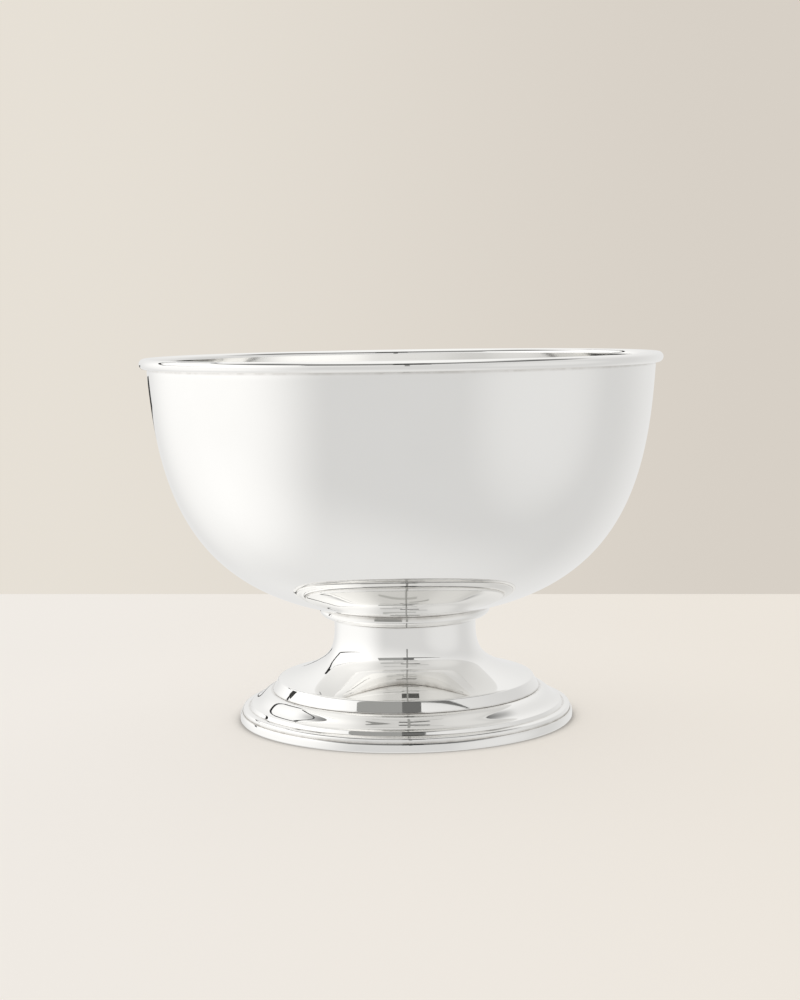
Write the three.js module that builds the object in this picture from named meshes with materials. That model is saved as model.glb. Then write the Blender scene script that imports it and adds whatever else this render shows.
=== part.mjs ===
// A silver-plated pedestal punch bowl, in millimetres, +Z up, standing on z = 0 about the Z axis.
// The bowl is spun sheet with its lip curled round a wire. A stud brazed to a plate under the bowl
// passes down through a disc in the pedestal's neck, and a dished clamp, washers and a nut pull the
// two together.
import * as THREE from "three";

// Facets round the axis, for the large spun pieces and for the small turned ones.
const SPUN_FACETS = 48;
const TURNED_FACETS = 24;

const SHEET = 1.2;
const GAP = 0.3;

// Bowl: the underside's curve runs from the axis out to the upright wall below the bead.
const BOWL_UNDERSIDE = 77.3;
const BOWL_RADIUS = 184.5;
const BEAD_FOOT_HEIGHT = 258;
const BOTTOM_REACH = 158;
const WALL_DROP = 88.3;
const WALL_LEAN = 6.4;

// Rim: a bead rolled outward round a steel wire.
const RIM_RADIUS = 190;
const RIM_HEIGHT = 267.5;
const BEAD_RADIUS = 3.7;
const BEAD_CENTRE = new THREE.Vector2(RIM_RADIUS - BEAD_RADIUS, RIM_HEIGHT - BEAD_RADIUS);
const CURL_INSIDE = BEAD_RADIUS - SHEET;
const CURL_END = -112;

// Pedestal: an open neck closed by a brazed disc, a flare and a tapered riser.
const PEDESTAL_TOP = 74;
const CAP_THICKNESS = 1.8;
const STUD_HOLE = 4.7;
const NECK_RADIUS = 52.5;
const NECK_WAIST = 0.6;
const FLARE_RADIUS = 62;
const FLARE_HEIGHT = 43;
const SHOULDER_RADIUS = 93.4;
const SHOULDER_HEIGHT = 30.2;
const RISER_TOP = 29;
const RISER_TOP_RADIUS = 94.8;
const RISER_FOOT = 21.9;
const RISER_FOOT_RADIUS = 98.8;

// Foot: a lip inside the riser, a ledge, an ogee slope, a step and a skirt inside the foot ring.
const LIP_RADIUS = 94.6;
const LIP_RISE = 4;
const LEDGE_HEIGHT = RISER_FOOT - GAP;
const STEP_RADIUS = 114.8;
const STEP_HEIGHT = 12.2;
const SKIRT_RADIUS = 121.2;
const SKIRT_SHOULDER = 10;
const SKIRT_ROUND = 2;

// Foot ring: an angle-section ring that the whole piece stands on.
const RING_RADIUS = 123.2;
const RING_HEIGHT = 6.4;
const RING_INSIDE = 117;
const RING_BASE = 1.4;

// Collar: a turned ring that covers the joint between the neck and the bowl.
const COLLAR_INSIDE = 46.6;
const COLLAR_FOOT = 53.1;
const COLLAR_RADIUS = 62.8;
const COLLAR_EDGE = 81.2;

// Fixing at the centre: an M8 stud with a flat head, held by a plate brazed under the bowl.
const PLATE_RADIUS = 46.3;
const PLATE_WEB = 1.2;
const STUD_RADIUS = 4;
const STUD_BORE = 4.3;
const STUD_HEAD_RADIUS = 9;
const STUD_HEAD_THICKNESS = 1.2;
const STUD_END = 47;
const DISH_RADIUS = 38;
const DISH_THICKNESS = 2;
const DISH_DEPTH = 4;
const DISH_FLAT = 14;
const WASHER_RADIUS = 12;
const WASHER_THICKNESS = 1.6;
const SPRING_RADIUS = 7.4;
const SPRING_THICKNESS = 2.2;
const SPRING_SPLIT = 0.16;
const NUT_ACROSS_FLATS = 13;
const NUT_THICKNESS = 6.5;

const silver = { color: 0xe9e8e5, roughness: 0.06, metalness: 1 };
const brass = { color: 0xb89a56, roughness: 0.35, metalness: 1 };
const steel = { color: 0xb4b7ba, roughness: 0.32, metalness: 1 };

const parts = new THREE.Group();

function add(name, geometry, finish, height = 0) {
  const mesh = new THREE.Mesh(geometry, new THREE.MeshStandardMaterial(finish));
  mesh.name = name;
  mesh.position.z = height;
  parts.add(mesh);
}

function at(radius, height) {
  return new THREE.Vector2(radius, height);
}

function bend(start, pullStart, pullEnd, end, steps) {
  return new THREE.CubicBezierCurve(start, pullStart, pullEnd, end).getPoints(steps);
}

// A round stretch about a centre, from one angle to another in degrees.
function round(centre, radius, from, to, steps) {
  const start = THREE.MathUtils.degToRad(from);
  const end = THREE.MathUtils.degToRad(to);
  return new THREE.ArcCurve(centre.x, centre.y, radius, start, end, to < from).getPoints(steps);
}

// The line parallel to a path, a distance to the left of its direction of travel.
function parallel(path, distance) {
  return path.map((point, i) => {
    const back = point.clone().sub(path[Math.max(i - 1, 0)]).normalize();
    const ahead = path[Math.min(i + 1, path.length - 1)].clone().sub(point).normalize();
    const along = back.clone().add(ahead).normalize();
    const turn = Math.max(along.dot(i > 0 ? back : ahead), 0.5);
    return at(point.x - (along.y * distance) / turn, point.y + (along.x * distance) / turn);
  });
}

// Turns an outline of radius and height about Z. The outline starts and ends on the axis or closes.
function spin(outline, facets) {
  return new THREE.LatheGeometry(outline, facets).rotateX(Math.PI / 2);
}

function closed(outline) {
  return [...outline, outline[0].clone()];
}

const bowlBottom = new THREE.CubicBezierCurve(
  at(0, BOWL_UNDERSIDE),
  at(BOTTOM_REACH, BOWL_UNDERSIDE),
  at(BOWL_RADIUS - WALL_LEAN, BEAD_FOOT_HEIGHT - WALL_DROP),
  at(BOWL_RADIUS, BEAD_FOOT_HEIGHT),
);

// Height of the bowl's underside at a radius, by halving the curve's parameter.
function bowlUnderside(radius) {
  let low = 0;
  let high = 1;
  for (let i = 0; i < 30; i += 1) {
    const middle = (low + high) / 2;
    if (bowlBottom.getPoint(middle).x < radius) low = middle;
    else high = middle;
  }
  return bowlBottom.getPoint(low).y;
}

// Points that follow the bowl's underside just below it, at the radii given.
function underBowl(radii) {
  return radii.map((radius) => at(radius, bowlUnderside(radius) - GAP));
}

// The lip's curl about the wire, from the top of the wall over and round to the sheet's edge.
function curl(radius) {
  return [
    ...round(BEAD_CENTRE, radius, 180, -90, 6),
    round(BEAD_CENTRE, radius, CURL_END, 0, 1)[0],
  ];
}

function bowlShell() {
  const underside = bowlBottom.getSpacedPoints(14);
  const inside = parallel(underside, SHEET);
  inside[0].x = 0;
  const outline = [...underside, ...curl(CURL_INSIDE), ...curl(BEAD_RADIUS).reverse(), ...inside.reverse()];
  return spin(outline, SPUN_FACETS);
}

function rimWire() {
  return spin(closed(round(BEAD_CENTRE, CURL_INSIDE - GAP, 0, 315, 7)), SPUN_FACETS);
}

function pedestalShell() {
  const outside = [
    ...bend(
      at(NECK_RADIUS, PEDESTAL_TOP),
      at(NECK_RADIUS - 0.9, 62),
      at(NECK_RADIUS - 0.5, 50),
      at(FLARE_RADIUS, FLARE_HEIGHT),
      5,
    ),
    ...bend(
      at(FLARE_RADIUS, FLARE_HEIGHT),
      at(70, 37.5),
      at(82, 32.4),
      at(SHOULDER_RADIUS, SHOULDER_HEIGHT),
      3,
    ).slice(1),
    at(RISER_TOP_RADIUS, RISER_TOP),
    at(RISER_FOOT_RADIUS, RISER_FOOT),
  ];
  const inside = parallel(outside, -SHEET);
  inside[0].y = PEDESTAL_TOP;
  inside.at(-1).y = RISER_FOOT;
  return spin(closed([...outside, ...inside.reverse()].reverse()), SPUN_FACETS);
}

function pedestalCap() {
  const edge = NECK_RADIUS - SHEET - GAP - NECK_WAIST;
  const section = [
    at(STUD_HOLE, PEDESTAL_TOP - CAP_THICKNESS),
    at(edge, PEDESTAL_TOP - CAP_THICKNESS),
    at(edge, PEDESTAL_TOP),
    at(STUD_HOLE, PEDESTAL_TOP),
  ];
  return spin(closed(section), SPUN_FACETS);
}

function footShell() {
  const outside = [
    at(LIP_RADIUS, RISER_FOOT + LIP_RISE),
    at(RISER_FOOT_RADIUS - 1.9, RISER_FOOT),
    at(RISER_FOOT_RADIUS - 1.4, LEDGE_HEIGHT),
    ...bend(
      at(RISER_FOOT_RADIUS + 0.8, LEDGE_HEIGHT - 0.1),
      at(106, LEDGE_HEIGHT - 1),
      at(108.5, STEP_HEIGHT + 1.6),
      at(STEP_RADIUS, STEP_HEIGHT),
      5,
    ),
    at(STEP_RADIUS + 0.9, STEP_HEIGHT - 0.8),
    at(STEP_RADIUS + 1.2, STEP_HEIGHT - 2.2),
    ...round(at(SKIRT_RADIUS - SKIRT_ROUND, SKIRT_SHOULDER - SKIRT_ROUND), SKIRT_ROUND, 78, 0, 2),
    at(SKIRT_RADIUS, RING_BASE + GAP),
  ];
  const inside = parallel(outside, -SHEET);
  return spin(closed([...outside, ...inside.reverse()].reverse()), SPUN_FACETS);
}

function footRing() {
  const inner = SKIRT_RADIUS + GAP;
  const section = [
    at(RING_INSIDE, 0),
    at(RING_RADIUS - 0.9, 0),
    ...bend(
      at(RING_RADIUS - 0.2, 0.8),
      at(RING_RADIUS, 2),
      at(RING_RADIUS, 4),
      at(RING_RADIUS - 0.3, 5.4),
      3,
    ),
    at(RING_RADIUS - 0.9, RING_HEIGHT),
    at(inner, RING_HEIGHT),
    at(inner, RING_BASE),
    at(RING_INSIDE, RING_BASE),
  ];
  return spin(closed(section), SPUN_FACETS);
}

function collarRing() {
  const section = [
    at(COLLAR_INSIDE, PEDESTAL_TOP + GAP),
    at(COLLAR_FOOT, PEDESTAL_TOP + GAP),
    ...bend(
      at(COLLAR_FOOT + 1.4, PEDESTAL_TOP + 0.8),
      at(COLLAR_RADIUS - 5.8, PEDESTAL_TOP + 0.6),
      at(COLLAR_RADIUS - 0.4, PEDESTAL_TOP + 2.4),
      at(COLLAR_RADIUS, PEDESTAL_TOP + 6),
      4,
    ),
    at(COLLAR_RADIUS - 0.6, COLLAR_EDGE),
    ...underBowl([COLLAR_RADIUS - 1.2, COLLAR_INSIDE + 6, COLLAR_INSIDE]),
  ];
  return spin(closed(section), SPUN_FACETS);
}

const plateFoot = PEDESTAL_TOP + GAP;
const studHeadFoot = plateFoot + PLATE_WEB + GAP;
const studHeadTop = studHeadFoot + STUD_HEAD_THICKNESS;

function backingPlate() {
  const recess = STUD_HEAD_RADIUS + GAP;
  const section = [
    at(STUD_BORE, plateFoot),
    at(PLATE_RADIUS, plateFoot),
    ...underBowl([PLATE_RADIUS, 0.75 * PLATE_RADIUS, 0.5 * PLATE_RADIUS, recess]),
    at(recess, plateFoot + PLATE_WEB),
    at(STUD_BORE, plateFoot + PLATE_WEB),
  ];
  return spin(closed(section), SPUN_FACETS);
}

function centreStud() {
  const outline = [
    at(0, STUD_END),
    at(STUD_RADIUS - 0.8, STUD_END),
    at(STUD_RADIUS, STUD_END + 0.8),
    at(STUD_RADIUS, studHeadFoot),
    at(STUD_HEAD_RADIUS, studHeadFoot),
    at(STUD_HEAD_RADIUS, studHeadTop),
    at(0, studHeadTop),
  ];
  return spin(outline, TURNED_FACETS);
}

const dishTop = PEDESTAL_TOP - CAP_THICKNESS - GAP;
const dishUnderside = dishTop - DISH_DEPTH - DISH_THICKNESS;

function clampDish() {
  const upper = [
    at(STUD_BORE, dishTop - DISH_DEPTH),
    at(DISH_FLAT, dishTop - DISH_DEPTH),
    ...bend(
      at(DISH_FLAT + 3, dishTop - DISH_DEPTH + 0.2),
      at(DISH_FLAT + 8, dishTop - DISH_DEPTH + 1.4),
      at(DISH_FLAT + 10, dishTop - 0.1),
      at(DISH_RADIUS - 8, dishTop),
      4,
    ),
    at(DISH_RADIUS, dishTop),
  ];
  const lower = parallel(upper, -DISH_THICKNESS);
  return spin(closed([...upper, ...lower.reverse()].reverse()), TURNED_FACETS);
}

const washerFoot = dishUnderside - GAP - WASHER_THICKNESS;
const springFoot = washerFoot - GAP - SPRING_THICKNESS;
const nutFoot = springFoot - GAP - NUT_THICKNESS;

function flatWasher() {
  const section = [
    at(STUD_BORE, 0),
    at(WASHER_RADIUS, 0),
    at(WASHER_RADIUS, WASHER_THICKNESS),
    at(STUD_BORE, WASHER_THICKNESS),
  ];
  return spin(closed(section), TURNED_FACETS);
}

function springWasher() {
  const outline = new THREE.Shape();
  outline.absarc(0, 0, SPRING_RADIUS, SPRING_SPLIT, 2 * Math.PI - SPRING_SPLIT, false);
  outline.absarc(0, 0, STUD_BORE, 2 * Math.PI - SPRING_SPLIT, SPRING_SPLIT, true);
  const depth = SPRING_THICKNESS;
  return new THREE.ExtrudeGeometry(outline, { depth, bevelEnabled: false, curveSegments: 16 });
}

function hexNut() {
  const corner = NUT_ACROSS_FLATS / Math.sqrt(3);
  const outline = new THREE.Shape();
  for (let i = 0; i < 6; i += 1) {
    const angle = (i * Math.PI) / 3;
    outline[i ? "lineTo" : "moveTo"](corner * Math.cos(angle), corner * Math.sin(angle));
  }
  outline.closePath();
  outline.holes.push(new THREE.Path().absarc(0, 0, STUD_BORE, 0, 2 * Math.PI, true));
  const depth = NUT_THICKNESS;
  return new THREE.ExtrudeGeometry(outline, { depth, bevelEnabled: false, curveSegments: 16 });
}

add("bowl_shell", bowlShell(), silver);
add("rim_wire", rimWire(), steel);
add("collar_ring", collarRing(), silver);
add("pedestal_shell", pedestalShell(), silver);
add("pedestal_cap", pedestalCap(), brass);
add("foot_shell", footShell(), silver);
add("foot_ring", footRing(), silver);
add("backing_plate", backingPlate(), brass);
add("centre_stud", centreStud(), brass);
add("clamp_dish", clampDish(), steel);
add("flat_washer", flatWasher(), steel, washerFoot);
add("spring_washer", springWasher(), steel, springFoot);
add("hex_nut", hexNut(), brass, nutFoot);

export default parts;
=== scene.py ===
"""A silver-plated pedestal punch bowl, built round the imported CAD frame. Lengths are in metres,
except in the turned outlines, which are in millimetres of radius and height like a turner's drawing."""

import math

import bmesh
import bpy
from mathutils import Matrix, Vector


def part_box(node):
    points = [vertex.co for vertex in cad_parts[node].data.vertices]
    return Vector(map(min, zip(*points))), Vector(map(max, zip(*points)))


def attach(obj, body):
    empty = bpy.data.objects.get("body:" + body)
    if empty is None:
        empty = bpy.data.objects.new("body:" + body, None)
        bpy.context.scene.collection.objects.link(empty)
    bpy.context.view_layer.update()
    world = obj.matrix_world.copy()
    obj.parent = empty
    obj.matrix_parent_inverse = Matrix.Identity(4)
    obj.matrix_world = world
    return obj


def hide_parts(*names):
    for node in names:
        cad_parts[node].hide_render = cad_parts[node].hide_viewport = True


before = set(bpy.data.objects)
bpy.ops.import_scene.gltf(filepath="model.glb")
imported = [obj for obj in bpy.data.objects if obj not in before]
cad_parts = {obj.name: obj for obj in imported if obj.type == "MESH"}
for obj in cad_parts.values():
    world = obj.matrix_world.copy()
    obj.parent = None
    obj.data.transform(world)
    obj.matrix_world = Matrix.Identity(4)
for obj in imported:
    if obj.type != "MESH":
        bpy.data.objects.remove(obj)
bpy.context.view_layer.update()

MM = 0.001


# ---------------------------------------------------------------- sizes, in millimetres

def reach(node):
    """A turned node's outer radius, lowest point and highest point."""
    low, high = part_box(node)
    return high.x / MM, low.z / MM, high.z / MM


RIM_RADIUS, BOWL_UNDERSIDE, RIM_HEIGHT = reach("bowl_shell")
COLLAR_RADIUS, COLLAR_BASE, _ = reach("collar_ring")
RISER_FOOT_RADIUS, RISER_FOOT, PEDESTAL_TOP = reach("pedestal_shell")
SKIRT_RADIUS, SKIRT_FOOT, _ = reach("foot_shell")
RING_RADIUS, _, RING_HEIGHT = reach("foot_ring")
CAP_RADIUS, CAP_FOOT, _ = reach("pedestal_cap")
PLATE_RADIUS, PLATE_FOOT, _ = reach("backing_plate")
STUD_HEAD_RADIUS, STUD_END, STUD_HEAD_TOP = reach("centre_stud")
DISH_RADIUS, _, DISH_TOP = reach("clamp_dish")
WASHER_RADIUS, WASHER_FOOT, WASHER_TOP = reach("flat_washer")
SPRING_RADIUS, SPRING_FOOT, SPRING_TOP = reach("spring_washer")
NUT_CORNER, NUT_FOOT, NUT_TOP = reach("hex_nut")

SHEET = 1.2
SEAM = 0.06

# The bowl's underside runs from the axis to the upright wall under the bead.
BOWL_RADIUS = RIM_RADIUS - 5.5
BOTTOM_REACH = 158
WALL_DROP = 88.3
WALL_LEAN = 6.4
BEAD_FOOT_HEIGHT = RIM_HEIGHT - 9.5
BEAD_RADIUS = 3.7
BEAD_CENTRE = (RIM_RADIUS - BEAD_RADIUS, RIM_HEIGHT - BEAD_RADIUS)
CURL_END = -112

NECK_RADIUS = 52.5
FLARE_RADIUS, FLARE_HEIGHT = 62, 43
SHOULDER_RADIUS, SHOULDER_HEIGHT = 93.4, 30.2
RISER_TOP_RADIUS, RISER_TOP = 94.8, 29
STEP_RADIUS, STEP_HEIGHT = 114.4, 12.8
LEDGE_HEIGHT = RISER_FOOT - SEAM
SKIRT_ROUND = 2
SKIRT_SHOULDER = 10
RING_INSIDE, RING_BASE = 117, 1.4
COLLAR_INSIDE = 46.6

# The stud's thread, and the holes that it passes through.
THREAD_CREST = 3.98
THREAD_PITCH = 1.25
CLEAR_HOLE = 4.3
CAP_HOLE = 4.7

FINE = 256
SMALL = 96


# ---------------------------------------------------------------- outlines

def bend(start, pull_start, pull_end, end, steps):
    """A cubic Bezier stretch between two points."""
    points = []
    for i in range(steps + 1):
        t = i / steps
        weights = ((1 - t) ** 3, 3 * t * (1 - t) ** 2, 3 * t * t * (1 - t), t ** 3)
        corners = (start, pull_start, pull_end, end)
        points.append(tuple(sum(w * p[k] for w, p in zip(weights, corners)) for k in (0, 1)))
    return points


def arc(centre, radius, first, last, steps):
    """A round stretch from one angle to another, in degrees."""
    angles = [math.radians(first + (last - first) * i / steps) for i in range(steps + 1)]
    return [(centre[0] + radius * math.cos(a), centre[1] + radius * math.sin(a)) for a in angles]


def parallel(path, distance):
    """The line parallel to a path, a distance to the left of its direction of travel."""
    moved = []
    for i, (x, y) in enumerate(path):
        back = Vector(path[i]) - Vector(path[max(i - 1, 0)])
        ahead = Vector(path[min(i + 1, len(path) - 1)]) - Vector(path[i])
        along = back.normalized() + ahead.normalized()
        along.normalize()
        turn = max(along.dot(back.normalized() if i else ahead.normalized()), 0.5)
        moved.append((x - along.y * distance / turn, y + along.x * distance / turn))
    return moved


def rounded(outline, radius, steps=4, least=14):
    """A closed outline with each sharp corner eased to about the radius given."""
    made = []
    count = len(outline)
    for i, point in enumerate(outline):
        here = Vector(point)
        back = Vector(outline[i - 1]) - here
        ahead = Vector(outline[(i + 1) % count]) - here
        if back.length < 1e-6 or ahead.length < 1e-6:
            continue
        turned = math.degrees(math.pi - back.angle(ahead))
        if turned < least:
            made.append(point)
            continue
        cut = min(radius * math.tan(math.radians(turned) / 2), 0.45 * back.length, 0.45 * ahead.length)
        start = here + back.normalized() * cut
        end = here + ahead.normalized() * cut
        for k in range(steps + 1):
            t = k / steps
            made.append(tuple(start * (1 - t) ** 2 + here * 2 * t * (1 - t) + end * t * t))
    return made


# ---------------------------------------------------------------- meshes

def mesh_object(name, bm, *materials):
    mesh = bpy.data.meshes.new(name)
    bmesh.ops.recalc_face_normals(bm, faces=bm.faces)
    bm.to_mesh(mesh)
    bm.free()
    mesh.polygons.foreach_set("use_smooth", [True] * len(mesh.polygons))
    mesh.set_sharp_from_angle(angle=math.radians(35))
    for material in materials:
        mesh.materials.append(material)
    made = bpy.data.objects.new(name, mesh)
    bpy.context.scene.collection.objects.link(made)
    return made


def point_about_axis(bm, radius, angle, height):
    """A mesh point at a radius and height in millimetres, turned about Z by an angle in radians."""
    return bm.verts.new((radius * MM * math.cos(angle), radius * MM * math.sin(angle), height * MM))


def turned(name, outline, facets, *materials, closed=True, inside=None):
    """Turns an outline about Z. It closes on itself, or runs from the axis back to the axis.
    inside says of each stretch, by its start and end, whether it takes the second material."""
    bm = bmesh.new()
    rings = []
    for radius, height in outline:
        if radius < 1e-6:
            rings.append([bm.verts.new((0, 0, height * MM))])
            continue
        angles = [2 * math.pi * i / facets for i in range(facets)]
        rings.append([point_about_axis(bm, radius, a, height) for a in angles])
    pairs = list(zip(rings, rings[1:]))
    spans = list(zip(outline, outline[1:]))
    if closed:
        pairs.append((rings[-1], rings[0]))
        spans.append((outline[-1], outline[0]))
    for (lower, upper), (start, end) in zip(pairs, spans):
        choice = 1 if inside and inside(start, end) else 0
        for i in range(facets):
            j = (i + 1) % facets
            if len(lower) == 1 and len(upper) == 1:
                break
            if len(lower) == 1:
                face = bm.faces.new((lower[0], upper[j], upper[i]))
            elif len(upper) == 1:
                face = bm.faces.new((lower[i], lower[j], upper[0]))
            else:
                face = bm.faces.new((lower[i], lower[j], upper[j], upper[i]))
            face.material_index = choice
    return mesh_object(name, bm, *materials)


def faces_inward(start, end):
    """Whether a stretch of an outline looks toward the axis or down. The outline runs down its
    outside first."""
    return end[0] - start[0] < end[1] - start[1]


def stands_for(piece, node):
    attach(piece, "root")
    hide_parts(node)


# ---------------------------------------------------------------- shader helpers

def shade(tree, kind, sockets=None, **settings):
    """Adds a shader node. sockets gives numbers, colours or other nodes' outputs by input name."""
    made = tree.nodes.new("ShaderNode" + kind)
    for name, value in settings.items():
        setattr(made, name, value)
    for name, value in (sockets or {}).items():
        if isinstance(value, bpy.types.NodeSocket):
            tree.links.new(value, made.inputs[name])
        else:
            made.inputs[name].default_value = value
    return made


def calc(tree, operation, first, second=0.0, third=0.0):
    return shade(tree, "Math", {0: first, 1: second, 2: third}, operation=operation).outputs[0]


def spread(tree, value, low, high, out_low=0.0, out_high=1.0):
    """Maps a value's range to another, held at both ends."""
    sockets = {"Value": value, "From Min": low, "From Max": high, "To Min": out_low, "To Max": out_high}
    return shade(tree, "MapRange", sockets, interpolation_type="SMOOTHSTEP").outputs[0]


def noise(tree, vector, scale, detail=2.0, rough=0.5, dimensions="3D"):
    sockets = {"Vector": vector, "Scale": scale, "Detail": detail, "Roughness": rough}
    return shade(tree, "TexNoise", sockets, noise_dimensions=dimensions).outputs[0]


def blend(tree, factor, first, second):
    """Mixes two colours."""
    made = shade(tree, "Mix", {"Factor": factor}, data_type="RGBA")
    for index, value in ((6, first), (7, second)):
        if isinstance(value, bpy.types.NodeSocket):
            tree.links.new(value, made.inputs[index])
        else:
            made.inputs[index].default_value = (*value, 1)
    return made.outputs[2]


def new_material(name):
    material = bpy.data.materials.new(name)
    material.use_nodes = True
    tree = material.node_tree
    return material, tree, tree.nodes["Principled BSDF"]


def turned_coordinates(tree):
    """The point on the piece, its radius and its height, in metres."""
    point = shade(tree, "TexCoord").outputs["Object"]
    parts = shade(tree, "SeparateXYZ", {0: point})
    flat = shade(tree, "CombineXYZ", {"X": parts.outputs["X"], "Y": parts.outputs["Y"]}).outputs[0]
    radius = shade(tree, "VectorMath", {0: flat}, operation="LENGTH").outputs["Value"]
    return point, radius, parts.outputs["Z"]


def spin_lines(tree, radius, height, pitch):
    """Fine rings left by turning or by a polishing mop, about a pitch apart."""
    section = shade(tree, "CombineXYZ", {"X": radius, "Y": height}).outputs[0]
    return noise(tree, section, 1 / pitch, 3, 0.7, "2D")


def hairlines(tree, point, turn, fineness=620):
    """Long hair-fine scratches that run one way, in patches."""
    laid = shade(tree, "Mapping", {"Vector": point, "Rotation": turn, "Scale": (fineness, 9, 13)})
    lines = spread(tree, noise(tree, laid.outputs[0], 1.0, 1, 0.4), 0.71, 0.80)
    patch = spread(tree, noise(tree, point, 17.0 + turn[0], 2), 0.5, 0.68)
    return calc(tree, "MULTIPLY", lines, patch)


def scratched(tree, point, turns, fineness=620):
    """Several sets of hairlines together, as light wiping leaves them."""
    total = hairlines(tree, point, turns[0], fineness)
    for turn in turns[1:]:
        total = calc(tree, "MAXIMUM", total, hairlines(tree, point, turn, fineness))
    return total


WIPE_TURNS = [(0.3, 0.2, 0.5), (1.1, 0.7, 2.1), (2.0, 1.3, 1.2), (0.6, 2.4, 2.8)]


# ---------------------------------------------------------------- silver

# Painted shade in the corners: radius, height and width of each ring-shaped corner, in millimetres.
SHADED_CORNERS = [
    (BOWL_RADIUS + 0.4, BEAD_FOOT_HEIGHT + 2.2, 2.2),
    (COLLAR_RADIUS - 0.4, PEDESTAL_TOP + 8.4, 1.8),
    (NECK_RADIUS + 0.7, PEDESTAL_TOP + 0.2, 1.8),
    (RISER_FOOT_RADIUS + 0.2, RISER_FOOT - 0.1, 1.8),
    (STEP_RADIUS + 1.9, STEP_HEIGHT - 2.9, 1.2),
    (SKIRT_RADIUS + 0.2, RING_HEIGHT + 0.2, 1.6),
]


SILVER = (0.945, 0.940, 0.925)
SILVER_HAZED = (0.915, 0.908, 0.890)
# The dark brown-grey that the corners are blended toward: painted shade.
SILVER_PAINTED_SHADE = (0.42, 0.38, 0.33)


def crevice(tree, radius, height, place):
    """How near a point is to one ring-shaped corner, from 0 to 1, which sets how much painted shade it gets.
    """
    across = calc(tree, "SUBTRACT", radius, place[0] * MM)
    up = calc(tree, "SUBTRACT", height, place[1] * MM)
    offset = shade(tree, "CombineXYZ", {"X": across, "Y": up}).outputs[0]
    far = shade(tree, "VectorMath", {0: offset}, operation="LENGTH").outputs["Value"]
    return spread(tree, far, 0.15 * place[2] * MM, place[2] * MM, 1.0, 0.0)


def mirror_silver():
    """Mirror-polished plate: faint mop rings, wiping hairlines, hazy patches, and painted shade that darkens
    the ring-shaped corners.
    """
    material, tree, shader = new_material("mirror_silver")
    point, radius, height = turned_coordinates(tree)
    # Painted shade: a mask of the ring-shaped corners, broken up by noise, blends the colour toward dark
    # brown-grey and also roughens it.
    corners = crevice(tree, radius, height, SHADED_CORNERS[0])
    for place in SHADED_CORNERS[1:]:
        corners = calc(tree, "MAXIMUM", corners, crevice(tree, radius, height, place))
    patchy = spread(tree, noise(tree, point, 95.0, 4, 0.6), 0.35, 0.75, 0.45, 1.0)
    corner_shade = calc(tree, "MULTIPLY", corners, patchy)
    haze = spread(tree, noise(tree, point, 14.0, 4, 0.55), 0.42, 0.78)
    wiped = scratched(tree, point, WIPE_TURNS)
    rings = spin_lines(tree, radius, height, 0.0007)

    tone = blend(tree, calc(tree, "MULTIPLY", haze, 0.35), SILVER, SILVER_HAZED)
    tree.links.new(blend(tree, calc(tree, "MULTIPLY", corner_shade, 0.55), tone, SILVER_PAINTED_SHADE),
                   shader.inputs["Base Color"])
    rough = calc(tree, "MULTIPLY_ADD", haze, 0.018, 0.028)
    rough = calc(tree, "MULTIPLY_ADD", wiped, 0.06, rough)
    rough = calc(tree, "MULTIPLY_ADD", corner_shade, 0.2, rough)
    tree.links.new(rough, shader.inputs["Roughness"])
    relief = calc(tree, "MULTIPLY_ADD", wiped, -0.5, calc(tree, "MULTIPLY", rings, 0.25))
    bump = shade(tree, "Bump", {"Strength": 0.03, "Distance": 0.00002, "Height": relief})
    tree.links.new(bump.outputs[0], shader.inputs["Normal"])
    shader.inputs["Metallic"].default_value = 1.0
    return material


def satin_silver():
    """Plate that was never buffed, inside the foot: spun rings, a soft bloom and solder stains."""
    material, tree, shader = new_material("satin_silver")
    point, radius, height = turned_coordinates(tree)
    rings = spin_lines(tree, radius, height, 0.0011)
    bloom = spread(tree, noise(tree, point, 22.0, 5, 0.6), 0.35, 0.75)
    stains = spread(tree, noise(tree, point, 60.0, 4, 0.65), 0.58, 0.72)
    tone = blend(tree, bloom, (0.80, 0.785, 0.755), (0.66, 0.645, 0.61))
    tree.links.new(blend(tree, calc(tree, "MULTIPLY", stains, 0.5), tone, (0.38, 0.33, 0.27)),
                   shader.inputs["Base Color"])
    rough = calc(tree, "MULTIPLY_ADD", bloom, 0.12, 0.30)
    tree.links.new(calc(tree, "MULTIPLY_ADD", rings, 0.12, rough), shader.inputs["Roughness"])
    bump = shade(tree, "Bump", {"Strength": 0.35, "Distance": 0.00012, "Height": rings})
    tree.links.new(bump.outputs[0], shader.inputs["Normal"])
    shader.inputs["Metallic"].default_value = 1.0
    return material


def turned_metal(name, clean, dull, rough_low, rough_high):
    """Plain turned or stamped metal with machining rings, dull patches and scratches."""
    material, tree, shader = new_material(name)
    point, radius, height = turned_coordinates(tree)
    rings = spin_lines(tree, radius, height, 0.0004)
    patches = spread(tree, noise(tree, point, 120.0, 5, 0.62), 0.36, 0.7)
    wiped = scratched(tree, point, WIPE_TURNS[:3], 1500)
    tree.links.new(blend(tree, patches, clean, dull), shader.inputs["Base Color"])
    rough = spread(tree, patches, 0.0, 1.0, rough_low, rough_high)
    tree.links.new(calc(tree, "MULTIPLY_ADD", rings, 0.1, rough), shader.inputs["Roughness"])
    relief = calc(tree, "MULTIPLY_ADD", wiped, -0.6, rings)
    bump = shade(tree, "Bump", {"Strength": 0.4, "Distance": 0.00008, "Height": relief})
    tree.links.new(bump.outputs[0], shader.inputs["Normal"])
    shader.inputs["Metallic"].default_value = 1.0
    return material


silver = mirror_silver()
satin = satin_silver()
brass = turned_metal("turned_brass", (0.78, 0.60, 0.29), (0.50, 0.36, 0.18), 0.22, 0.42)
steel = turned_metal("zinc_steel", (0.64, 0.65, 0.66), (0.47, 0.48, 0.47), 0.24, 0.44)


# ---------------------------------------------------------------- bowl

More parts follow.
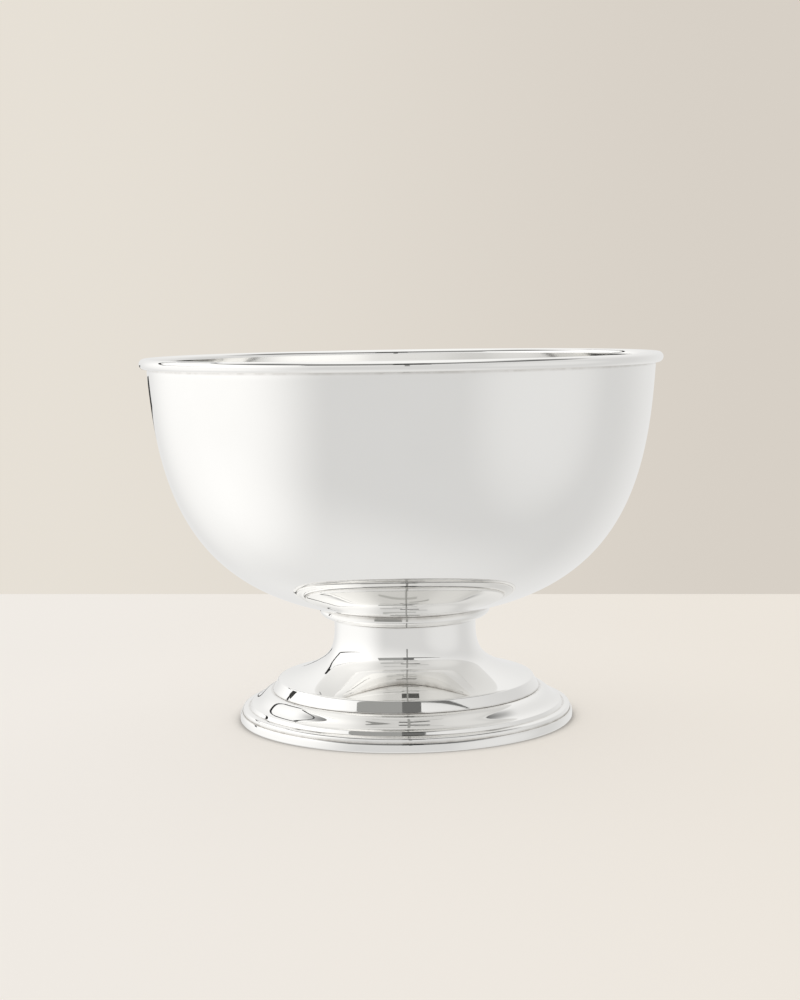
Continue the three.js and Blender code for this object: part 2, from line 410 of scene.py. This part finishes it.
BOWL_BOTTOM = (
    (0, BOWL_UNDERSIDE),
    (BOTTOM_REACH, BOWL_UNDERSIDE),
    (BOWL_RADIUS - WALL_LEAN, BEAD_FOOT_HEIGHT - WALL_DROP),
    (BOWL_RADIUS, BEAD_FOOT_HEIGHT),
)


def bowl_underside(radius):
    """Height of the bowl's underside at a radius, between two points of its fine outline."""
    path = bend(*BOWL_BOTTOM, 400)
    for (r0, z0), (r1, z1) in zip(path, path[1:]):
        if r0 <= radius <= r1:
            return z0 + (z1 - z0) * (radius - r0) / (r1 - r0)
    return BEAD_FOOT_HEIGHT


def under_bowl(first, last, steps):
    """Points just under the bowl, from one radius to another."""
    radii = [first + (last - first) * i / steps for i in range(steps + 1)]
    return [(radius, bowl_underside(radius) - SEAM) for radius in radii]


def bowl_shell():
    underside = bend(*BOWL_BOTTOM, 80)
    inside = parallel(underside, SHEET)
    inside[0] = (0, BOWL_UNDERSIDE + SHEET)
    hidden = arc(BEAD_CENTRE, BEAD_RADIUS - SHEET, 180, CURL_END, 26)
    edge_middle = arc(BEAD_CENTRE, BEAD_RADIUS - SHEET / 2, CURL_END, CURL_END, 1)[0]
    edge = arc(edge_middle, SHEET / 2, CURL_END - 180, CURL_END - 360, 6)[1:-1]
    bead = arc(BEAD_CENTRE, BEAD_RADIUS, CURL_END, 180, 44)
    outline = underside + hidden + edge + bead + inside[::-1]
    stands_for(turned("punch_bowl", outline, FINE, silver, closed=False), "bowl_shell")


def rim_wire():
    outline = arc(BEAD_CENTRE, BEAD_RADIUS - SHEET - SEAM, 0, 345, 23)
    stands_for(turned("bead_wire", outline, FINE, steel), "rim_wire")


def collar_ring():
    profile = [
        (COLLAR_INSIDE, COLLAR_BASE),
        (NECK_RADIUS + 0.6, COLLAR_BASE),
        *bend(
            (NECK_RADIUS + 2, PEDESTAL_TOP + 0.8),
            (COLLAR_RADIUS - 5.8, PEDESTAL_TOP + 0.6),
            (COLLAR_RADIUS - 0.4, PEDESTAL_TOP + 2.4),
            (COLLAR_RADIUS, PEDESTAL_TOP + 6),
            16,
        ),
        (COLLAR_RADIUS - 0.6, PEDESTAL_TOP + 7.2),
        *under_bowl(COLLAR_RADIUS - 1.2, COLLAR_INSIDE, 10),
    ]
    stands_for(turned("bowl_collar", rounded(profile, 0.35), FINE, silver), "collar_ring")


# ---------------------------------------------------------------- pedestal and foot

def pedestal_shell():
    riser = [
        *bend(
            (SHOULDER_RADIUS, SHOULDER_HEIGHT),
            (SHOULDER_RADIUS + 0.9, SHOULDER_HEIGHT - 0.2),
            (RISER_TOP_RADIUS - 0.1, RISER_TOP + 0.5),
            (RISER_TOP_RADIUS, RISER_TOP),
            6,
        ),
        (RISER_FOOT_RADIUS, RISER_FOOT),
    ]
    outside = [
        *bend(
            (NECK_RADIUS, PEDESTAL_TOP),
            (NECK_RADIUS - 0.9, 62),
            (NECK_RADIUS - 0.5, 50),
            (FLARE_RADIUS, FLARE_HEIGHT),
            40,
        ),
        *bend(
            (FLARE_RADIUS, FLARE_HEIGHT),
            (70, 37.5),
            (82, 32.4),
            (SHOULDER_RADIUS, SHOULDER_HEIGHT),
            28,
        )[1:],
        *riser[1:],
    ]
    inner = parallel(outside, -SHEET)
    inner[0] = (inner[0][0], PEDESTAL_TOP)
    inner[-1] = (inner[-1][0], RISER_FOOT)
    outline = rounded(outside + inner[::-1], 0.25)
    piece = turned("pedestal", outline, FINE, silver, satin, inside=faces_inward)
    stands_for(piece, "pedestal_shell")


def pedestal_cap():
    outline = [
        (CAP_HOLE, CAP_FOOT),
        (CAP_RADIUS, CAP_FOOT),
        (CAP_RADIUS, PEDESTAL_TOP),
        (CAP_HOLE, PEDESTAL_TOP),
    ]
    stands_for(turned("neck_disc", rounded(outline, 0.2), FINE, brass), "pedestal_cap")


def foot_shell():
    outside = [
        (94.6, RISER_FOOT + 4),
        (RISER_FOOT_RADIUS - 1.9, RISER_FOOT),
        (RISER_FOOT_RADIUS - 1.4, LEDGE_HEIGHT),
        *bend(
            (RISER_FOOT_RADIUS + 0.8, LEDGE_HEIGHT - 0.1),
            (106, LEDGE_HEIGHT - 1),
            (108.5, STEP_HEIGHT + 1),
            (STEP_RADIUS, STEP_HEIGHT),
            36,
        ),
        (STEP_RADIUS + 0.3, STEP_HEIGHT - 0.6),
        (STEP_RADIUS + 1.05, STEP_HEIGHT - 2.1),
        (STEP_RADIUS + 1.35, STEP_HEIGHT - 2.7),
        *arc((SKIRT_RADIUS - SKIRT_ROUND, SKIRT_SHOULDER - SKIRT_ROUND), SKIRT_ROUND, 78, 0, 10),
        (SKIRT_RADIUS, SKIRT_FOOT),
    ]
    inner = parallel(outside, -SHEET)
    outline = rounded(outside + inner[::-1], 0.3)
    piece = turned("stepped_foot", outline, FINE, silver, satin, inside=faces_inward)
    stands_for(piece, "foot_shell")


def foot_ring():
    inner = SKIRT_RADIUS + SEAM
    outline = [
        (RING_INSIDE, 0),
        (RING_RADIUS - 0.9, 0),
        *bend(
            (RING_RADIUS - 0.2, 0.8),
            (RING_RADIUS, 2),
            (RING_RADIUS, 4),
            (RING_RADIUS - 0.3, 5.4),
            10,
        ),
        (RING_RADIUS - 0.9, RING_HEIGHT),
        (inner, RING_HEIGHT),
        (inner, RING_BASE),
        (RING_INSIDE, RING_BASE),
    ]
    stands_for(turned("base_ring", rounded(outline, 0.3), FINE, silver), "foot_ring")


# ---------------------------------------------------------------- centre fixing

def backing_plate():
    recess = STUD_HEAD_RADIUS + 0.3
    web = PLATE_FOOT + SHEET
    outline = [
        (CLEAR_HOLE, PLATE_FOOT),
        (PLATE_RADIUS, PLATE_FOOT),
        *under_bowl(PLATE_RADIUS, recess, 16),
        (recess, web),
        (CLEAR_HOLE, web),
    ]
    stands_for(turned("backing_disc", rounded(outline, 0.2), FINE, brass), "backing_plate")


def thread_radius(height, angle, root=3.35):
    """Radius of an M8 thread at a height and an angle."""
    phase = (height / THREAD_PITCH - angle / (2 * math.pi)) % 1
    ridge = 1 - abs(2 * phase - 1)
    return root + (THREAD_CREST - root) * min(max(1.6 * ridge - 0.25, 0), 1)


def centre_stud():
    """The stud: a threaded lower end with a chamfered tip, a plain shank and a flat head."""
    head_foot = STUD_HEAD_TOP - 1.2
    thread_top = 70
    tip = 1.2
    facets = 48
    bm = bmesh.new()
    rows = []
    steps = round((thread_top - STUD_END) / 0.125)
    for k in range(steps + 1):
        height = STUD_END + (thread_top - STUD_END) * k / steps
        limit = 2.9 + (height - STUD_END) * 0.9 if height < STUD_END + tip else 9
        fade = min(1, max(0, (thread_top - height) / 1.2))
        row = []
        for i in range(facets):
            angle = 2 * math.pi * i / facets
            cut = thread_radius(height, angle)
            radius = min(THREAD_CREST + (cut - THREAD_CREST) * fade, limit)
            row.append(point_about_axis(bm, radius, angle, height))
        rows.append(row)
    shank = [
        (THREAD_CREST, head_foot),
        (STUD_HEAD_RADIUS - 0.2, head_foot),
        (STUD_HEAD_RADIUS, head_foot + 0.2),
        (STUD_HEAD_RADIUS, STUD_HEAD_TOP - 0.3),
        (STUD_HEAD_RADIUS - 0.3, STUD_HEAD_TOP),
    ]
    for radius, height in shank:
        angles = [2 * math.pi * i / facets for i in range(facets)]
        rows.append([point_about_axis(bm, radius, a, height) for a in angles])
    for lower, upper in zip(rows, rows[1:]):
        for i in range(facets):
            j = (i + 1) % facets
            bm.faces.new((lower[i], lower[j], upper[j], upper[i]))
    bm.faces.new(rows[0])
    bm.faces.new(rows[-1])
    stands_for(mesh_object("threaded_stud", bm, brass), "centre_stud")


def clamp_dish():
    thickness = 2
    depth = 4
    flat = 14
    upper = [
        (CLEAR_HOLE, DISH_TOP - depth),
        (flat, DISH_TOP - depth),
        *bend(
            (flat + 3, DISH_TOP - depth + 0.2),
            (flat + 8, DISH_TOP - depth + 1.4),
            (flat + 10, DISH_TOP - 0.1),
            (DISH_RADIUS - 8, DISH_TOP),
            20,
        ),
        (DISH_RADIUS, DISH_TOP),
    ]
    lower = parallel(upper, -thickness)
    outline = rounded(upper + lower[::-1], 0.4)
    stands_for(turned("clamping_dish", outline, SMALL * 2, steel), "clamp_dish")


def flat_washer():
    outline = [
        (CLEAR_HOLE, WASHER_FOOT),
        (WASHER_RADIUS, WASHER_FOOT),
        (WASHER_RADIUS, WASHER_TOP),
        (CLEAR_HOLE, WASHER_TOP),
    ]
    stands_for(turned("plain_washer", rounded(outline, 0.3), SMALL, steel), "flat_washer")


def spring_washer():
    """A split ring whose two ends are offset, so that it rises by a little round its turn."""
    inner, split, rise = 4.35, 0.17, 0.4
    thickness = SPRING_TOP - SPRING_FOOT - rise
    outer = SPRING_RADIUS
    steps = 90
    ease = 0.22
    bm = bmesh.new()
    rows = []
    for k in range(steps + 1):
        angle = split + (2 * math.pi - 2 * split) * k / steps
        base = SPRING_FOOT + rise * k / steps
        section = [
            (inner + ease, base), (outer - ease, base), (outer, base + ease),
            (outer, base + thickness - ease), (outer - ease, base + thickness),
            (inner + ease, base + thickness), (inner, base + thickness - ease), (inner, base + ease),
        ]
        rows.append([point_about_axis(bm, r, angle, z) for r, z in section])
    for near, far in zip(rows, rows[1:]):
        for i in range(len(near)):
            j = (i + 1) % len(near)
            bm.faces.new((near[i], near[j], far[j], far[i]))
    bm.faces.new(rows[0])
    bm.faces.new(rows[-1])
    stands_for(mesh_object("split_washer", bm, steel), "spring_washer")


def hex_nut():
    """A hexagon nut: its corners are turned off by a cone above and below, and its bore is threaded."""
    facets = 96
    bore_steps = 44
    mouth = 4.25
    flat_half = NUT_CORNER * math.cos(math.pi / 6)
    bm = bmesh.new()

    def ring(radius_at, height_at):
        row = []
        for i in range(facets):
            angle = 2 * math.pi * i / facets
            radius = radius_at(angle)
            height = height_at(angle, radius)
            row.append(point_about_axis(bm, radius, angle, height))
        return row

    def hexagon(angle):
        return flat_half / math.cos(angle % (math.pi / 3) - math.pi / 6)

    def turned_off(radius):
        return max(0, radius - flat_half + 0.25) * 0.5

    def bore_thread(height, angle):
        phase = (height / THREAD_PITCH - angle / (2 * math.pi)) % 1
        return 4.02 + 0.2 * min(1, abs(phase * 2 - 1) * 1.5)

    rows = [
        ring(lambda a: mouth, lambda a, r: NUT_FOOT),
        ring(lambda a: flat_half - 0.3, lambda a, r: NUT_FOOT),
        ring(hexagon, lambda a, r: NUT_FOOT + turned_off(r)),
        ring(hexagon, lambda a, r: NUT_TOP - turned_off(r)),
        ring(lambda a: flat_half - 0.3, lambda a, r: NUT_TOP),
        ring(lambda a: mouth, lambda a, r: NUT_TOP),
    ]
    for k in range(bore_steps + 1):
        height = NUT_TOP - 0.3 + (NUT_FOOT - NUT_TOP + 0.6) * k / bore_steps
        rows.append(ring(lambda a: bore_thread(height, a), lambda a, r: height))
    rows.append(rows[0])
    for near, far in zip(rows, rows[1:]):
        for i in range(facets):
            j = (i + 1) % facets
            bm.faces.new((near[i], near[j], far[j], far[i]))
    stands_for(mesh_object("hexagon_nut", bm, brass), "hex_nut")


bowl_shell()
rim_wire()
collar_ring()
pedestal_shell()
pedestal_cap()
foot_shell()
foot_ring()
backing_plate()
centre_stud()
clamp_dish()
flat_washer()
spring_washer()
hex_nut()


# ---------------------------------------------------------------- stage

TABLE_BACK = 0.5896
TABLE_YAW = math.tan(math.radians(5.82))
TABLE_SIDE = 0.9
TABLE_FRONT = -1.0
TABLE_COLOUR = (0.30, 0.29, 0.275)
# The table's glow is painted light: brighter on the left than on the right.
TABLE_GLOW_LEFT = (0.645, 0.615, 0.58)
TABLE_GLOW_RIGHT = (0.615, 0.57, 0.51)
# Painted light: the backdrop's glow is brighter on the left than on the right.
WALL_LEFT = (0.796, 0.747, 0.672)
WALL_RIGHT = (0.680, 0.630, 0.565)


def pale_surface():
    """The table's matt top. It is also lit a little from within, so that shadows on it stay soft and pale;
    this glow is painted light, brighter on the left than on the right, and it is dimmed beside the foot as a
    painted contact shadow. It is clear from below, to show the object's underside."""
    material, tree, shader = new_material("pale_table")
    place = shade(tree, "TexCoord").outputs["Object"]
    across = shade(tree, "SeparateXYZ", {0: place}).outputs["X"]
    glow = blend(tree, spread(tree, across, -0.45, 0.45), TABLE_GLOW_LEFT, TABLE_GLOW_RIGHT)
    # Painted contact shadow: an occlusion test leaning to the left dims the glow right next to the foot.
    sockets = {"Distance": 0.05, "Normal": Vector((-0.8, 0.4, 0.45)).normalized()}
    shadow_openness = shade(tree, "AmbientOcclusion", sockets, samples=8).outputs["AO"]
    glow_with_painted_shadow = shade(tree, "VectorMath", {0: glow}, operation="SCALE")
    tree.links.new(spread(tree, shadow_openness, 0.5, 0.92, 0.35, 1.0), glow_with_painted_shadow.inputs["Scale"])
    tree.links.new(glow_with_painted_shadow.outputs[0], shader.inputs["Emission Color"])
    shader.inputs["Base Color"].default_value = (*TABLE_COLOUR, 1)
    shader.inputs["Roughness"].default_value = 0.9
    shader.inputs["Specular IOR Level"].default_value = 0.0
    shader.inputs["Emission Strength"].default_value = 1.0
    below = shade(tree, "NewGeometry").outputs["Backfacing"]
    clear = shade(tree, "BsdfTransparent").outputs[0]
    surface = shade(tree, "MixShader", {0: below, 1: shader.outputs[0], 2: clear})
    tree.links.new(surface.outputs[0], tree.nodes["Material Output"].inputs["Surface"])
    return material


def only_seen_by(made, *rays):
    """Limits a stage piece to the kinds of ray given, so that it lights and shades nothing else."""
    for kind in ("camera", "diffuse", "glossy", "transmission", "volume_scatter", "shadow"):
        setattr(made, "visible_" + kind, kind in rays)


def stage_mesh(name, points, faces, material):
    mesh = bpy.data.meshes.new(name)
    mesh.from_pydata(points, [], faces)
    mesh.materials.append(material)
    made = bpy.data.objects.new(name, mesh)
    bpy.context.scene.collection.objects.link(made)
    return made


def table():
    """A pale table top whose back edge runs slightly askew."""
    left = TABLE_BACK + TABLE_YAW * TABLE_SIDE
    right = TABLE_BACK - TABLE_YAW * TABLE_SIDE
    corners = [
        (-TABLE_SIDE, TABLE_FRONT, 0),
        (TABLE_SIDE, TABLE_FRONT, 0),
        (TABLE_SIDE, right, 0),
        (-TABLE_SIDE, left, 0),
    ]
    made = stage_mesh("table", corners, [(0, 1, 2, 3)], pale_surface())
    made.visible_glossy = False


table()


def emitter(name, colour_from, inner_only=False):
    """A surface with its own even light. With inner_only it is clear except where polished metal
    reflects other polished metal, so it darkens the hollows under the bowl and leaves the open sides."""
    material = bpy.data.materials.new(name)
    material.use_nodes = True
    tree = material.node_tree
    tree.nodes.clear()
    surface = shade(tree, "Emission", {"Color": colour_from(tree), "Strength": 1.0}).outputs[0]
    if inner_only:
        bounces = shade(tree, "LightPath").outputs["Glossy Depth"]
        clear = shade(tree, "BsdfTransparent").outputs[0]
        surface = shade(tree, "MixShader", {
            0: calc(tree, "GREATER_THAN", bounces, 1.5), 1: clear, 2: surface,
        }).outputs[0]
    shade(tree, "OutputMaterial", {"Surface": surface})
    return material


def wall():
    """A round backdrop that glows, brighter on the left than on the right: painted light falling off across
    it. Only the camera sees it, so it lights nothing and shows in no reflection.
    """
    radius, low, high, facets = 3.2, -2.0, 3.5, 96
    points = []
    for height in (low, high):
        for i in range(facets):
            angle = 2 * math.pi * i / facets
            points.append((radius * math.cos(angle), radius * math.sin(angle), height))
    faces = [(i, (i + 1) % facets, (i + 1) % facets + facets, i + facets) for i in range(facets)]

    def colour(tree):
        place = shade(tree, "NewGeometry").outputs["Position"]
        across = shade(tree, "SeparateXYZ", {0: place}).outputs["X"]
        side = spread(tree, across, -0.95, 0.95)
        return blend(tree, side, WALL_LEFT, WALL_RIGHT)

    made = stage_mesh("wall", points, faces, emitter("pale_wall", colour))
    only_seen_by(made, "camera")


wall()

CARD_DISTANCE = 12


def toward(azimuth, elevation):
    """A point of the studio seen from the bowl's foot at an azimuth and elevation in degrees."""
    a = math.radians(azimuth)
    e = math.radians(elevation)
    return CARD_DISTANCE * Vector((math.cos(e) * math.sin(a), math.cos(e) * math.cos(a), math.sin(e)))


def card(name, corners, light, inner_only=False):
    """A card or a flag hung round the bowl, by the azimuth and elevation of its four corners in turn.
    It shows only in reflections."""
    count = max(1, round(abs(corners[1][0] - corners[0][0]) / 4))
    points = []
    for start, end in ((corners[0], corners[1]), (corners[3], corners[2])):
        for i in range(count + 1):
            t = i / count
            points.append(toward(start[0] + (end[0] - start[0]) * t, start[1] + (end[1] - start[1]) * t))
    step = count + 1
    faces = [(i, i + 1, i + 1 + step, i + step) for i in range(count)]
    shown = emitter(name, lambda tree: (light, light, light * 0.97, 1), inner_only)
    only_seen_by(stage_mesh(name, points, faces, shown), "glossy")


def level(azimuths, elevations):
    """The four corners of an upright card."""
    (left, right), (foot, top) = azimuths, elevations
    return (left, foot), (right, foot), (right, top), (left, top)


def studio_cards():
    """What the polished metal picks out: the edges of the left softbox, the camera's gap, a dark ceiling."""
    card("softbox_back_edge", ((-60, 11), (-28, 31), (-24, 31), (-55, 11)), 0.02)
    card("softbox_side_edge", ((-29, 30), (-24.5, 30), (-26.5, 41), (-32, 41)), 0.02)
    card("softbox_foot_edge", ((-56, 10.6), (-104, 14.4), (-104, 14.8), (-60, 13)), 0.05)
    card("softbox_head_edge", ((-28, 40), (-70, 50), (-70, 50.5), (-30, 42.5)), 0.06)
    card("left_flag", level((-21, -7), (-3, -1)), 0.04)
    card("ceiling_bay_left", level((-133, -176), (31, 47)), 0.34)
    card("ceiling_bay_middle", level((-176, -194), (31, 40)), 0.16)
    card("ceiling_bay_middle_upper", level((-176, -194), (40, 60)), 0.04)
    card("ceiling_bay_upper_point", ((166, 31), (120, 31.8), (120, 32.2), (166, 34)), 0.15)
    card("ceiling_bay_lower_point", ((166, 39), (118, 50), (118, 51), (166, 48)), 0.16)
    card("camera_gap", level((176.4, 178.6), (8, 31)), 0.25)
    # The bars below show only where polished metal reflects polished metal: painted shade in the hollows
    # under the bowl.
    card("low_bar_left", level((-138, -176), (-11, -6)), 0.3, inner_only=True)
    card("low_bar_middle", level((-172, -204), (-19, -14)), 0.1, inner_only=True)
    card("low_bar_right", level((172, 140), (-26, -23)), 0.45, inner_only=True)
    card("low_bar_foot", level((-140, -200), (-34, -31)), 0.5, inner_only=True)
    card("high_bar", level((-160, -200), (9, 13)), 0.25, inner_only=True)
    card("gap_below", level((176, 179), (-45, 8)), 0.35, inner_only=True)


studio_cards()

# The studio is a pale surround with a few large soft lights in it. Each light has the azimuth and
# elevation of its middle, how far from there its glow reaches, in degrees, and its added brightness.
SURROUND = 0.70
SOFT_LIGHTS = {
    "left_softbox": (-85, 0, 65, 0.35),
    "right_reflector": (115, -10, 40, 0.10),
    "back_wall": (0, 0, 70, 0.12),
    "overhead": (-90, 75, 90, 0.30),
    "bounce_below": (-60, -70, 60, 0.12),
}
# The dark ceiling over the camera's half of the studio: how much light it takes, and in degrees the
# elevations over which it starts and ends, and the angles from the camera over which it fades out.
CEILING_SHADE = 0.84
CEILING_STARTS = (38, 47)
CEILING_ENDS = (56, 72)
CEILING_SIDES = (100, 135)


def soft_light(tree, way, azimuth, elevation, reach, strength):
    """One light's share of the brightness: all of it at its middle, and none past its reach."""
    aim = toward(azimuth, elevation).normalized()
    nearness = shade(tree, "VectorMath", {0: way, 1: aim}, operation="DOT_PRODUCT").outputs["Value"]
    return spread(tree, nearness, math.cos(math.radians(reach)), 1.0, 0.0, strength)


def dark_ceiling(tree, way):
    """How much of the light is left in a direction."""
    parts = shade(tree, "SeparateXYZ", {0: way})
    forward = calc(tree, "MULTIPLY", parts.outputs["Y"], -1.0)
    aside = calc(tree, "ABSOLUTE", calc(tree, "ARCTAN2", parts.outputs["X"], forward))
    near_side = spread(tree, aside, *(math.radians(angle) for angle in CEILING_SIDES), 1.0, 0.0)
    height = parts.outputs["Z"]
    starts = spread(tree, height, *(math.sin(math.radians(angle)) for angle in CEILING_STARTS))
    ends = spread(tree, height, *(math.sin(math.radians(angle)) for angle in CEILING_ENDS), 1.0, 0.0)
    covered = calc(tree, "MULTIPLY", near_side, calc(tree, "MULTIPLY", starts, ends))
    return calc(tree, "MULTIPLY_ADD", covered, -CEILING_SHADE, 1.0)


def surroundings():
    """The studio's own light, smooth all the way round."""
    world = bpy.data.worlds.new("studio")
    bpy.context.scene.world = world
    world.use_nodes = True
    tree = world.node_tree
    tree.nodes.clear()
    way = shade(tree, "TexCoord").outputs["Generated"]
    total = SURROUND
    for light in SOFT_LIGHTS.values():
        total = calc(tree, "ADD", soft_light(tree, way, *light), total)
    tint = shade(tree, "VectorMath", {0: (1.0, 0.995, 0.985)}, operation="SCALE")
    tree.links.new(calc(tree, "MULTIPLY", total, dark_ceiling(tree, way)), tint.inputs["Scale"])
    back = shade(tree, "Background", {"Color": tint.outputs[0], "Strength": 1.0})
    shade(tree, "OutputWorld", {"Surface": back.outputs[0]})


surroundings()


CAMERA_PLACE = (-0.0023, -1.3438, 0.2965)
CAMERA_PITCH = 84.22
CAMERA_ROLL = -0.89


def camera():
    data = bpy.data.cameras.new("camera")
    data.lens = 66
    data.sensor_width = 36
    made = bpy.data.objects.new("camera", data)
    bpy.context.scene.collection.objects.link(made)
    made.location = CAMERA_PLACE
    aim = Matrix.Rotation(math.radians(CAMERA_PITCH), 4, "X")
    roll = Matrix.Rotation(math.radians(CAMERA_ROLL), 4, "Z")
    made.rotation_euler = (aim @ roll).to_euler()
    bpy.context.scene.camera = made


camera()
bpy.context.scene.view_settings.view_transform = "Standard"
